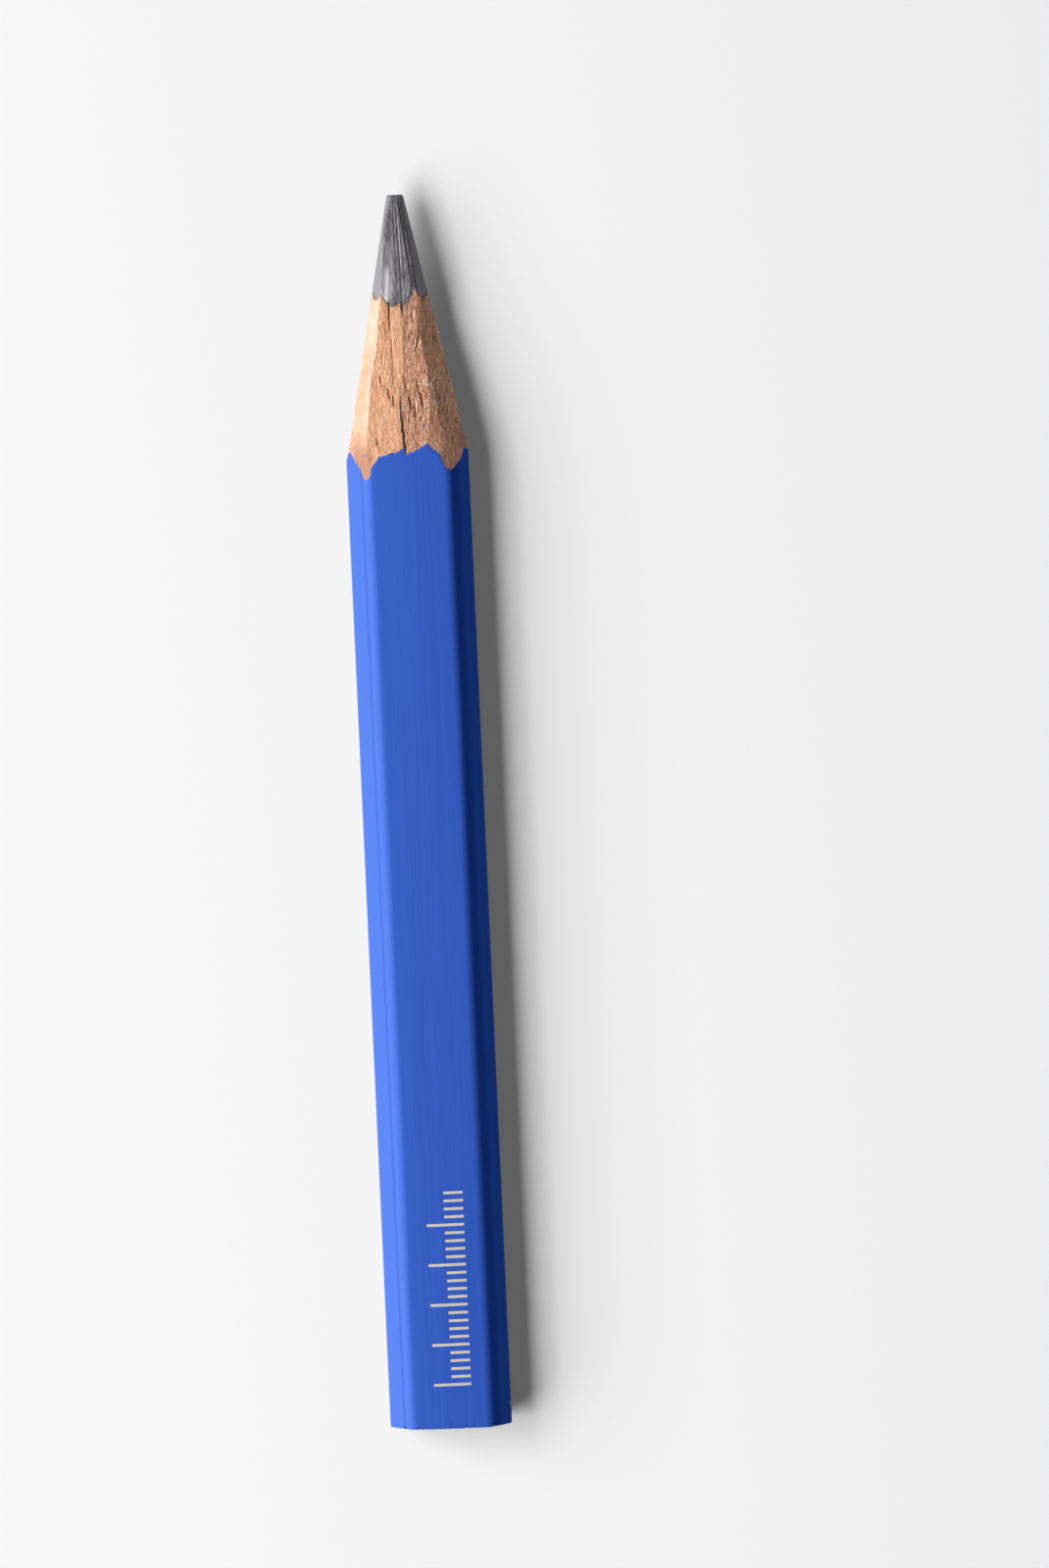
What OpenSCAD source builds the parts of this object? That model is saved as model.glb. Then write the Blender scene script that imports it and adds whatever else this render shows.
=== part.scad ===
// Flat carpenter's pencil, whittled to a point with a knife.
// Two wood slats are glued together edge to edge round a flat graphite lead, and the body is dipped in lacquer.
//
// Frame, in millimetres: X across the broad faces, Y along the pencil towards its point, Z up.
// The pencil lies on one broad face, and the origin is on that surface, under the middle of the pencil.

/* [Body] */
// Overall length, from the sawn end to the worn point
pencil_length = 153; // [120:1:180]
// Width over the lacquer
body_width = 15; // [12.5:0.1:18]
// Thickness over the lacquer
body_thickness = 7.5; // [6:0.1:9]
// Width of each broad face, measured where its flat would meet the slopes beside it
broad_face = 11; // [9:0.1:12]
// Height of each narrow side, measured the same way
narrow_side = 1.8; // [1.4:0.1:2.2]
// Radius along the four long shoulders beside the broad faces
shoulder_radius = 1.4; // [0.8:0.1:1.8]
// Radius along the four long edges beside the narrow sides
side_radius = 0.7; // [0.4:0.1:0.9]
// Thickness of the lacquer coat
coat_thickness = 0.12; // [0.1:0.01:0.2]

/* [Lead] */
// Width of the oval lead
lead_width = 6.7; // [5.4:0.1:8.1]
// Thickness of the lead at its middle
lead_thickness = 3; // [2.6:0.1:3.6]
// Radius of the two broad, slightly domed faces of the lead
lead_dome_radius = 8.6; // [7:0.1:12]
// Radius of the lead's narrow edges
lead_radius = 1.3; // [0.8:0.1:1.3]

/* [Worn point] */
// Width of the blunt end of the lead
tip_width = 2; // [1.2:0.1:3]
// Thickness of the blunt end of the lead
tip_thickness = 0.9; // [0.5:0.1:1.6]
// Width of the flat on each broad side of the blunt end
tip_flat = 1.1; // [0.6:0.1:1.2]

/* [Damage] */
// Width of the open glue seam in the wood, beside the lacquer
seam_gap = 0.4; // [0.2:0.05:0.8]
// Depth of the open glue seam
seam_depth = 0.7; // [0.3:0.05:1]
// Length of the open glue seam
seam_length = 6.5; // [3:0.5:9]
// Distance of the split in the left slat from the middle of the pencil
split_offset = 1.35; // [0.9:0.05:2]
// Width of that split at the surface of the wood
split_gap = 0.3; // [0.15:0.05:0.5]
// Depth of the split
split_depth = 0.45; // [0.2:0.05:0.7]
// Length of the split
split_length = 3.2; // [1.5:0.1:5]
// Size of the chips knocked out of the lacquer along its sawn edge
chip_size = 0.6; // [0.3:0.05:0.9]
// Distance of the nick in the right edge from the sawn end
nick_distance = 2.5; // [1.5:0.1:20]

/* [Hidden] */

LEFT = -1;
RIGHT = 1;
curve_fn = 48;
// Larger than any part of the pencil, so that a block of this size cuts right across it
reach = 3 * pencil_length;

axis_z = body_thickness / 2;
tip_y = pencil_length / 2;
butt_y = -pencil_length / 2;

// Each row is one flat knife cut: its direction round the pencil in degrees, from 0 at the narrow side through 90
// at the upper broad face to -90 at the lower one, the distance from the point at which it leaves the wood for
// the lead, and the distance from the point at which it runs out of the lacquer.
main_uncovers = 13.4;
main_runs_out = 31;
left_cuts = [[0, 11.9, 32.6], [35, 12.1, 31.8], [50, 13.7, 34.2], [85, main_uncovers, 34.2],
             [-30, 12.2, 31.8], [-58, 12.8, 33.6], [-88, 13.4, 31.2]];
right_cuts = [[0, 12.1, 32], [31, 12.2, 31.4], [62, 13, 33.7], [90, main_uncovers, main_runs_out],
              [-27, 12.2, 32.6], [-54, 12.6, 34], [-90, 12.9, 31.6]];
// Places of the chips across the upper broad face, as shares of its half width
chip_places = [-0.96, -0.3, 0.14, 0.45, 0.93];

// Unit vector across the pencil at an angle round its axis
function across(angle) = [cos(angle), sin(angle)];

// How far a rounded outline reaches in one direction; its corners are given as centres with one radius
function reach_of(centres, radius, angle) = max([for (c = centres) c * across(angle)]) + radius;

// From an arc's centre to the corner it rounds off, whose two sides have these outward normals, for radius 1
function to_corner(normal_a, normal_b) = (normal_a + normal_b) / (1 + normal_a * normal_b);

broad_normal = [0, 1];
narrow_normal = [1, 0];
slope_run = (body_width - broad_face) / 2;
slope_drop = (body_thickness - narrow_side) / 2;
slope_normal = [slope_drop, slope_run] / norm([slope_drop, slope_run]);

// Each corner of a section, as its arc's centre, the arc's radius and the outward normals on both sides of it
shoulder = [[broad_face, body_thickness] / 2 - shoulder_radius * to_corner(broad_normal, slope_normal),
            shoulder_radius, broad_normal, slope_normal];
side_edge = [[body_width, narrow_side] / 2 - side_radius * to_corner(slope_normal, narrow_normal),
             side_radius, slope_normal, narrow_normal];
lead_edge = [[lead_width, lead_thickness] / 2 - lead_radius * to_corner(broad_normal, narrow_normal),
             lead_radius, broad_normal, narrow_normal];

// Distance of each dome's centre from the lead's axis
lead_dome_drop = lead_dome_radius - lead_thickness / 2;

// The sharp corner, moved inwards by inset
function corner_point(c, inset) = c[0] + (c[1] - inset) * to_corner(c[2], c[3]);

// The same point in all four quarters of a section
function quarters(p) = [p, [-p.x, p.y], -p, [p.x, -p.y]];

function body_reach(angle) = max(reach_of(quarters(shoulder[0]), shoulder[1], angle),
                                 reach_of(quarters(side_edge[0]), side_edge[1], angle));
function lead_reach(angle) = min(reach_of(quarters(lead_edge[0]), lead_edge[1], angle),
                                 lead_dome_radius - lead_dome_drop * abs(sin(angle)));
function tip_reach(angle) = reach_of(concat(quarters([tip_flat / 2, tip_thickness / 2]),
                                            quarters([tip_width / 2, 0])), 0, angle);

// Stands a section drawn in X and Z up along the pencil, from y_from to y_to
module along_pencil(y_from, y_to)
    translate([0, y_to, axis_z]) rotate([90, 0, 0]) linear_extrude(y_to - y_from) children();

// What lies outside the arc at a corner, and a little past the corner itself, in all four quarters
module corner_waste(c, inset) {
    radius = c[1] - inset;
    for (side = [0, 1], face = [0, 1]) mirror([side, 0]) mirror([0, face]) translate(c[0])
        difference() {
            polygon(radius * [2 * to_corner(c[2], c[3]), c[2], c[3]]);
            circle(radius, $fn = curve_fn);
        }
}

// The body's section: a flat octagon with rounded corners, drawn inwards by inset
module body_section(inset = 0)
    difference() {
        a = corner_point(shoulder, inset);
        b = corner_point(side_edge, inset);
        polygon([a, b, [b.x, -b.y], [a.x, -a.y], -a, -b, [-b.x, b.y], [-a.x, a.y]]);
        corner_waste(shoulder, inset);
        corner_waste(side_edge, inset);
    }

// The lead's section: an oval of two shallow domes and rounded edges
module lead_section()
    intersection() {
        difference() {
            square([lead_width, lead_thickness], center = true);
            corner_waste(lead_edge, 0);
        }
        translate([0, lead_dome_drop]) circle(lead_dome_radius, $fn = 3 * curve_fn);
        translate([0, -lead_dome_drop]) circle(lead_dome_radius, $fn = 3 * curve_fn);
    }

// Everything outside one flat facet, which lies near_d from the axis at near_y behind the point and far_d at far_y
module off_cut(angle, near_y, near_d, far_y, far_d)
    translate([0, tip_y - near_y, axis_z])
    rotate([0, -angle, 0])
    translate([near_d, 0, 0])
    rotate([0, 0, atan((far_d - near_d) / (far_y - near_y))])
    translate([0, -reach / 2, -reach / 2])
    cube(reach);

// Turns what is drawn for the right side into the one that is asked for
module on_side(side) mirror([side == LEFT ? 1 : 0, 0, 0]) children();

// The half of all space on the right of the glue seam
module right_half() translate([0, -reach / 2, -reach / 2]) cube(reach);

// What the knife takes from one side of the wood and the lacquer
module knife_work(side)
    on_side(side) intersection() {
        right_half();
        for (cut = side == LEFT ? left_cuts : right_cuts)
            off_cut(cut[0], cut[1], lead_reach(cut[0]), cut[2], body_reach(cut[0]));
    }

// What the same cuts take from the lead, where they run on more gently to its blunt end
module lead_work(side)
    on_side(side) intersection() {
        right_half();
        for (cut = side == LEFT ? left_cuts : right_cuts)
            off_cut(cut[0], 0, tip_reach(cut[0]), cut[1], lead_reach(cut[0]));
    }

// A wedge of air along the grain, let into the upper facet from far_y behind the point towards it
main_slope = atan((body_thickness - lead_thickness) / 2 / (main_runs_out - main_uncovers));
module split(x, far_y, length, gap, depth) {
    above = coat_thickness + 1;
    translate([x, tip_y - main_runs_out, body_thickness])
    rotate([-main_slope, 0, 0])
    translate([0, main_runs_out - far_y + length, 0])
    rotate([90, 0, 0])
    linear_extrude(length)
    polygon([[0, -depth], [gap / 2 * (1 + above / depth), above], [-gap / 2 * (1 + above / depth), above]]);
}

// The glue seam, open from under the edge of the lacquer
module open_seam() split(0, main_runs_out + 1, seam_length, seam_gap, seam_depth);

// Chips out of the lacquer where the saw came through it, and the nick in the right edge
module lacquer_damage() {
    for (place = chip_places)
        translate([place * shoulder[0].x, butt_y, body_thickness])
        rotate([0, 0, 45])
        cube([chip_size, chip_size, 4 * coat_thickness], center = true);
    translate([body_width / 2, butt_y + nick_distance, axis_z + narrow_side / 2])
    rotate([0, 0, 45])
    cube([chip_size, chip_size, 2 * chip_size], center = true);
}

module slat(side)
    difference() {
        intersection() {
            along_pencil(butt_y, tip_y) body_section(coat_thickness);
            on_side(side) right_half();
        }
        along_pencil(butt_y - 1, tip_y + 1) lead_section();
        knife_work(side);
        open_seam();
        lacquer_damage();
    }

module slat_left()
    color("#dfb08c") difference() {
        slat(LEFT);
        split(-split_offset, main_uncovers + split_length, split_length + 1, split_gap, split_depth);
    }

module slat_right() color("#d9a883") slat(RIGHT);

module lead()
    color("#565459") difference() {
        along_pencil(butt_y, tip_y) lead_section();
        lead_work(LEFT);
        lead_work(RIGHT);
    }

module lacquer_coat()
    color("#335fc2") difference() {
        along_pencil(butt_y, tip_y) body_section();
        along_pencil(butt_y - 1, tip_y + 1) body_section(coat_thickness);
        knife_work(LEFT);
        knife_work(RIGHT);
        open_seam();
        lacquer_damage();
    }

lead();
slat_left();
slat_right();
lacquer_coat();
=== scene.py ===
# %% [markdown]
# # A carpenter's pencil, whittled with a knife
#
# A carpenter's pencil is flat so that it can't roll off a roof. Its lead is a flat oval, its casing is two
# wood slats glued together edge to edge, and the whole stick is dipped in lacquer. No pencil sharpener fits
# it, so it is cut to a point with a knife, and this one shows every stroke.
#
# Lengths below are in millimetres until a mesh is made. Across the pencil there are two numbers, x and h:
# h is the height above the pencil's own axis. Along it there is one, s: how far behind the point something
# lies.

# %% Start
import math
import bpy
import numpy as np
from mathutils import Matrix, Vector


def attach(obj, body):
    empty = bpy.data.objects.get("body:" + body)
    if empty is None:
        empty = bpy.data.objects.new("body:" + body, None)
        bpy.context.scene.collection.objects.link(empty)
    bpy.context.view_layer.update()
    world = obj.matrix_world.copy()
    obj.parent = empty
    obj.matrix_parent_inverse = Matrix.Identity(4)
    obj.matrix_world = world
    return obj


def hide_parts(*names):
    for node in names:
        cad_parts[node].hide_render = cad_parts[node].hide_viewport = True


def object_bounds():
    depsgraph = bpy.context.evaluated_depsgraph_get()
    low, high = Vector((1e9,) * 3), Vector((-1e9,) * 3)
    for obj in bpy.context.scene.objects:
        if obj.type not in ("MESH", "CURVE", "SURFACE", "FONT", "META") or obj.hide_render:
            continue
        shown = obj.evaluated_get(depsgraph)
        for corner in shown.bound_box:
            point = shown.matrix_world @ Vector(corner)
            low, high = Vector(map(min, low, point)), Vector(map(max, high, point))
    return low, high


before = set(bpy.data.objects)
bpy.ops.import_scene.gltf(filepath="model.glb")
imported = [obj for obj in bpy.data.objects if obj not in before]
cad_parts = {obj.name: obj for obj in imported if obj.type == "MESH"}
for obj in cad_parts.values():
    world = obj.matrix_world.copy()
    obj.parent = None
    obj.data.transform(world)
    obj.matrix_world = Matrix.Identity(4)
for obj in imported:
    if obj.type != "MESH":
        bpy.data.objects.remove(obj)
box_at_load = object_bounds()
MM = 0.001
TIP_Y = box_at_load[1].y / MM
LENGTH = (box_at_load[1].y - box_at_load[0].y) / MM
AXIS_Z = (box_at_load[0].z + box_at_load[1].z) / 2 / MM
print(f"the pencil is {LENGTH:.1f} mm long, and its axis lies {AXIS_Z:.2f} mm above the table")

# %% [markdown]
# ## Curves and noise
#
# A few helpers come first. A knife cut is steered by a handful of points, so there has to be a smooth curve
# through them. Wood needs noise that is longer along the grain than across it. Each lattice point of the
# noise gets its value by scrambling whole numbers, so the same pencil comes out on every run.

# %% Curves and noise
def ease(low, high, x):
    """0 below low, 1 above high, and a smooth step between them."""
    t = np.clip((x - low) / (high - low), 0, 1)
    return t * t * (3 - 2 * t)


def hump(x, middle, width):
    """1 at the middle, falling away on both sides like a bell."""
    return np.exp(-(((x - middle) / width) ** 2))


def between(low, high, x, fade):
    """1 between low and high, fading to 0 outside them."""
    return ease(low - fade, low + fade, x) * (1 - ease(high - fade, high + fade, x))


def curve(knots, x):
    """A smooth curve through (place, value) knots that never overshoots them."""
    k = np.array(knots, float)
    slope = np.diff(k[:, 1]) / np.diff(k[:, 0])
    tangent = np.concatenate(([slope[0]], (slope[1:] + slope[:-1]) / 2, [slope[-1]]))
    tangent[1:-1][slope[1:] * slope[:-1] <= 0] = 0
    x = np.clip(x, k[0, 0], k[-1, 0])
    i = np.clip(np.searchsorted(k[:, 0], x, side="right") - 1, 0, len(slope) - 1)
    w = k[i + 1, 0] - k[i, 0]
    t = (x - k[i, 0]) / w
    return ((2 * t**3 - 3 * t**2 + 1) * k[i, 1] + (t**3 - 2 * t**2 + t) * w * tangent[i]
            + (3 * t**2 - 2 * t**3) * k[i + 1, 1] + (t**3 - t**2) * w * tangent[i + 1])


def lattice(i, j, seed):
    """A number between -1 and 1 for every whole i and j."""
    n = (i.astype(np.int64) * 374761393 + j.astype(np.int64) * 668265263 + seed * 144269504) & 0xFFFFFFFF
    n = ((n ^ (n >> 13)) * 1274126177) & 0xFFFFFFFF
    return ((n ^ (n >> 16)) & 0xFFFF) / 32767.5 - 1


def noise(u, v, seed):
    """The lattice's numbers with smooth slopes between them."""
    i, j = np.floor(u), np.floor(v)
    a, b = u - i, v - j
    a, b = a * a * (3 - 2 * a), b * b * (3 - 2 * b)
    low = lattice(i, j, seed) * (1 - a) + lattice(i + 1, j, seed) * a
    high = lattice(i, j + 1, seed) * (1 - a) + lattice(i + 1, j + 1, seed) * a
    return low * (1 - b) + high * b


def grain(u, v, across, along, seed, octaves=3):
    """Noise whose features are so wide across the grain and so long along it."""
    total = 0
    for k in range(octaves):
        total = total + noise(u / across * 2**k, v / along * 2**k + 17 * k, seed + k) / 2**k
    return total / (2 - 2 ** (1 - octaves))


print("noise at three places:", np.round(noise(np.array([0.5, 3.2, 9.7]), np.array([1.5, 2.5, 4.1]), 1), 3))

# %% [markdown]
# ## The body's outline
#
# Cut straight across, the body is a flat octagon: two broad faces, two narrow sides, and four slopes
# between them, with soft edges, because lacquer draws back from a sharp corner. The outline is walked round
# at an even step, so that small damage finds enough points wherever it falls. The same walk with smaller
# radii, moved inwards, is the inside of the lacquer.

# %% The body's outline
HALF_WIDTH, HALF_HEIGHT = 7.5, 3.75
BROAD_FACE, NARROW_SIDE = 5.5, 0.9
SHOULDER_RADIUS, SIDE_RADIUS = 1.4, 0.7
ARC_POINTS = 25
OUTLINE_STEP = 0.125
LACQUER = 0.05


def rounded(corners, radii):
    """A closed outline with rounded corners, as many close points."""
    corners = np.array(corners, float)
    dense = []
    neighbours = zip(np.roll(corners, 1, 0), corners, np.roll(corners, -1, 0), radii)
    for before, corner, after, radius in neighbours:
        a, b = before - corner, after - corner
        a, b = a / np.hypot(*a), b / np.hypot(*b)
        half = math.acos(float(a @ b)) / 2
        middle = (a + b) / np.hypot(*(a + b))
        centre = corner + middle * radius / math.sin(half)
        facing = math.atan2(-middle[1], -middle[0])
        sweep = np.linspace(half - math.pi / 2, math.pi / 2 - half, ARC_POINTS) + facing
        dense.append(centre + radius * np.stack([np.cos(sweep), np.sin(sweep)], 1))
    return np.concatenate(dense)


def even_steps(outline, step):
    """The same outline at points an even step apart, their number a multiple of four."""
    closed = np.vstack([outline, outline[:1]])
    run = np.concatenate(([0], np.cumsum(np.hypot(*np.diff(closed, axis=0).T))))
    count = int(round(run[-1] / step / 4)) * 4
    at = np.linspace(0, run[-1], count, endpoint=False)
    return np.stack([np.interp(at, run, closed[:, k]) for k in (0, 1)], 1)


def body_outline(inset=0.0, step=OUTLINE_STEP):
    """The octagon, or the same octagon drawn in by an inset, starting on the right and going round."""
    slope = math.atan2(HALF_HEIGHT - NARROW_SIDE, HALF_WIDTH - BROAD_FACE)
    a = (BROAD_FACE - inset * math.tan(slope / 2), HALF_HEIGHT - inset)
    b = (HALF_WIDTH - inset, NARROW_SIDE - inset * math.tan((math.pi / 2 - slope) / 2))
    quarter = [(b, SIDE_RADIUS), (a, SHOULDER_RADIUS)]
    corners, radii = [], []
    for sx, sh in ((1, 1), (-1, 1), (-1, -1), (1, -1)):
        for (x, h), r in quarter if sx * sh > 0 else quarter[::-1]:
            corners.append((sx * x, sh * h))
            radii.append(r - inset)
    return even_steps(rounded(corners, radii), step)


outline = body_outline()
across, thick = np.ptp(outline, axis=0)
print(f"the outline has {len(outline)} points and spans {across:.2f} by {thick:.2f} mm")

# %% [markdown]
# ## The knife's facets
#
# Whoever sharpened this took long strokes from all sides, so the cone is a set of long flats. Each facet
# has a direction round the pencil, in degrees from its right side, and a distance from the axis that grows
# away from the point. A real stroke isn't a plane: the knife dives steeply through the lacquer and then
# levels out, and its direction turns a little. So a facet is a row of (s, direction, distance), joined
# smoothly.
#
# The two broad facets are steered by their height over the axis. They differ from slat to slat, because the
# slats split apart slightly, which leaves a low step along the seam.

# %% The knife's facets
FACETS = {
    "upper right": [(0, 55, 0.55), (3.6, 55, 1.06), (6.9, 55, 1.53), (10.2, 55, 1.97), (13, 55, 2.46),
                    (17.7, 56, 3.27), (23.1, 60, 3.91), (27, 65, 4.21), (30.6, 69, 4.4), (31.9, 69, 4.82),
                    (33.3, 69, 5), (34.5, 69, 5.3), (36, 69, 6)],
    "far right": [(0, 48, 1.5), (12.6, 48, 2.7), (15, 48, 2.66), (17, 48, 2.95), (21, 48, 3.78),
                  (25, 48, 4.5), (27, 50, 4.7), (29, 53, 4.93), (31, 55, 5.2), (32.7, 55, 5.4),
                  (33.5, 55, 5.6), (36, 55, 6.4)],
    "side right above": [(0, 31, 1.2), (12, 31, 3.1), (24, 31, 5.6), (30.9, 31, 6.55), (31.7, 31, 6.9),
                         (34, 31, 7.8), (36, 31, 8.2)],
    "side right": [(0, 0, 0.87), (12, 0, 3.35), (24, 0, 5.88), (31.2, 0, 7.38), (32.2, 0, 7.55),
                   (34, 0, 8.2)],
    "side right below": [(0, -28, 1.15), (12, -28, 3.1), (24, -28, 5.5), (32, -28, 6.8), (36, -28, 8.1)],
    "lower right": [(0, -57, 0.75), (12.4, -57, 2.32), (24, -59, 4.1), (33.8, -61, 5.85), (37, -61, 7)],
    "lower left": [(0, 234, 0.85), (12, 234, 2.42), (24, 232, 4.5), (33.4, 230, 6.25), (37, 230, 7.3)],
    "side left below": [(0, 213, 1.25), (12, 213, 3.05), (24, 213, 5.1), (31.6, 213, 6.68), (36, 213, 7.9)],
    "side left": [(0, 180, 1.12), (12, 180, 3.43), (24, 180, 5.76), (31.4, 180, 7.2), (32.6, 180, 7.55),
                  (34, 180, 8.2)],
    "side left above": [(0, 147, 1.3), (12, 147, 3.05), (24, 147, 5.1), (30.6, 147, 6.3), (31.2, 147, 6.5),
                        (31.7, 147, 6.85), (34, 147, 7.8)],
    "left shoulder": [(0, 106, 3), (26, 106, 4.15), (28, 106, 4.27), (30, 106, 4.35), (31.8, 106, 4.45),
                      (33.3, 106, 4.69), (34.6, 106, 4.82), (36, 106, 5.2)],
    "upper left": [(0, 130, 0.74), (3.5, 130, 1.4), (9.4, 130, 2.08), (11.8, 130, 2.41), (12.4, 130, 2.51),
                   (15, 130, 2.95), (18, 130, 3.45), (21, 130, 4.14), (24, 130, 4.7), (27, 131, 5.22),
                   (29, 131, 5.45), (30.9, 130, 5.55), (32.3, 129, 5.58), (33.6, 128, 5.59),
                   (34.6, 128, 5.69), (36, 128, 6.3)],
}
# The broad facets go by their height over the axis instead of their distance from it
BROAD_FACETS = {
    "broad left": [(0, 90, 0.47), (4, 91, 0.78), (8, 95, 1.08), (12, 96, 1.43), (13, 95.5, 1.54),
                   (14.5, 95, 1.68), (20, 94, 2.39), (26, 94, 3.15), (30, 94.5, 3.66), (31, 94.5, 3.79),
                   (33, 94.5, 4.1), (36, 94.5, 4.75)],
    "broad right": [(0, 90, 0.47), (6, 90, 0.93), (12, 90.5, 1.41), (13.4, 90.5, 1.54), (20, 91.5, 2.34),
                    (26, 91.5, 3.07), (30, 93.5, 3.5), (31, 94, 3.63), (32, 94, 3.78), (34, 94, 4.2),
                    (36, 94, 4.75)],
    "broad left below": [(0, 270, 0.45), (13, 268, 1.5), (31.4, 268, 3.76), (36, 268, 4.7)],
    "broad right below": [(0, 270, 0.45), (12.7, 273, 1.5), (30.8, 273, 3.77), (36, 273, 4.8)],
}
FACET_NAMES = list(FACETS) + list(BROAD_FACETS)
LEAD_HALF_WIDTH, LEAD_HALF_HEIGHT, LEAD_POWER = 3.35, 1.5, 2.2
SLATS_PART = 13.0
TIP_ROUNDING = 0.28
UNCUT = 9.0
TINY = 1e-6


SEAM = [(-9, 0.05), (14, 0.08), (21, 0), (24.6, -0.58), (31.3, -0.2), (34, -0.05), (40, 0), (170, 0)]


def seam_x(s):
    """The glue seam: straight down the stick, but it wanders where it has torn open near the lacquer."""
    return curve(SEAM, s)


def facet_shares(s, loop):
    """How much of the way out from the axis each facet leaves at every point, and its direction there."""
    rounding = TIP_ROUNDING - np.sqrt(TIP_ROUNDING**2 - np.clip(TIP_ROUNDING - s, 0, None) ** 2)
    rows = []
    for name, knots in (FACETS | BROAD_FACETS).items():
        direction, distance = curve([k[:2] for k in knots], s), curve([k[::2] for k in knots], s)
        side = 0
        if name in BROAD_FACETS:
            distance = distance * np.abs(np.sin(np.radians(direction)))
            side = -1 if "left" in name else 1
        rows.append((direction, distance, knots[-1][0], side))
    shares, angles = [], []
    for direction, distance, ends, side in rows:
        angle = np.radians(direction)[:, None] + 0 * loop[..., 0]
        facing = loop[..., 0] * np.cos(angle) + loop[..., 1] * np.sin(angle)
        share = np.where(facing > TINY, (distance - rounding)[:, None] / np.maximum(facing, TINY), UNCUT)
        share = np.where(s[:, None] < ends, share, UNCUT)
        if side:
            # A left facet comes just before its right one, and both use the left one's reach
            reach = np.minimum(share, 1) if side < 0 else reach
            over_seam = (loop[..., 0] * reach - seam_x(s)[:, None]) * side < 0
            share = np.where(over_seam & (s[:, None] > SLATS_PART), UNCUT, share)
        shares.append(share)
        angles.append(angle)
    return np.array(shares), np.array(angles)


off_middle = max(abs(x) for _, x in SEAM)
print(f"{len(FACET_NAMES)} facets; the seam wanders {off_middle:.2f} mm off the middle")

# %% [markdown]
# ## What the knife did to the surface
#
# The lead takes a polish from a slicing knife and furrows from a scraping one. Its broad facet is furrowed
# all the way along. The wood is another matter: where the blade ran with the grain it left smooth strips,
# and where it ran against the grain it tore out fibres. So every facet gets a roughness of its own,
# measured as a depth below the clean cut. Then the marks that can be told apart are cut one by one: the
# seam standing open, a split beside it, the strips in the middle, and a chip lifted on the right.

# %% What the knife did to the surface
# How deep each wood facet is torn, how wide and how long its tears are, and how far they lean, all in mm
TORN = {
    "broad left": (0.1, 0.3, 1.3, 0.3), "left shoulder": (0.1, 0.3, 1.3, 0.3),
    "broad right": (0.2, 0.32, 1.4, 0.3), "upper left": (0.025, 0.3, 2.2, 0.1),
    "upper right": (0.16, 0.3, 1.2, 0.35), "far right": (0.14, 0.3, 1.1, 0.35),
}
TORN_ELSEWHERE = (0.06, 0.35, 1.6, 0.15)
# Furrows in the lead's broad facet: x at the point, x at the wood, width, depth
LEAD_FURROWS = [(-0.35, -0.25, 0.07, 0.05), (-0.05, 0.3, 0.09, 0.06), (-0.7, -1.2, 0.08, 0.03),
                (0.15, 0.9, 0.07, 0.04), (0.22, 1.86, 0.12, 0.15)]
# Grooves in the wood's broad facets: x, s from, s to, half width, depth, lean
WOOD_GROOVES = [
    (-1.4, 12.6, 16.6, 0.06, 0.32, -0.02), (-1.25, 17.6, 23.2, 0.13, 0.12, 0.01),
    (-0.9, 18.4, 22.6, 0.1, 0.1, 0.02), (-0.22, 16.5, 21.4, 0.1, 0.11, 0.0),
    (0.12, 13.0, 15.0, 0.07, 0.25, 0.0), (2.2, 13.4, 17.4, 0.14, 0.16, -0.02),
    (2.02, 24.2, 26.0, 0.12, 0.5, 0.1), (0.62, 24.6, 26.1, 0.14, 0.34, 0.12),
    (1.15, 25.6, 27.2, 0.12, 0.3, 0.1), (-1.9, 23.5, 24.9, 0.12, 0.3, 0.06),
    (-1.4, 24.3, 25.7, 0.12, 0.26, 0.05), (0.1, 21.8, 24.0, 0.1, 0.2, 0.1),
    (-2.9, 21.9, 22.9, 0.12, 0.2, 0.15), (-3.6, 29.4, 30.4, 0.13, 0.22, 0.1),
    (1.5, 22.4, 24.0, 0.1, 0.2, 0.2),
]
# Fibres that curl up from the torn chip: x and s at one end, x and s at the other
LOOSE_FIBRES = [(2.5, 26.05, 4.8, 25.2), (1.8, 23.0, 3.4, 23.2), (3.3, 23.1, 3.9, 22.4)]
FIBRE_RADIUS, FIBRE_HEIGHT, CHIP_HEIGHT = 0.085, 0.16, 0.36
SEAM_WIDTH = [(24, 0), (25.2, 0.04), (28, 0.13), (29.6, 0.17), (31, 0.13), (32.1, 0.03), (32.6, 0)]
SEAM_DEPTH, GLUE_LINE_DEPTH = 0.5, 0.05


def in_lead(x, h):
    """Below 1 inside the lead's oval, 1 on its edge."""
    wide, high = np.abs(x / LEAD_HALF_WIDTH), np.abs(h / LEAD_HALF_HEIGHT)
    return (wide**LEAD_POWER + high**LEAD_POWER) ** (1 / LEAD_POWER)


def seam_opening(x, s):
    """How deep the seam stands open."""
    width = curve(SEAM_WIDTH, s) * (1 + 0.35 * noise(s * 1.9, 0 * s, 6))
    away = np.abs(x - seam_x(s) - 0.06 * noise(s * 1.3, 0 * s, 5))
    return SEAM_DEPTH * np.clip(1 - away / np.maximum(width, 1e-4), 0, 1) ** 0.6 * (width > 0.005)


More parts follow.
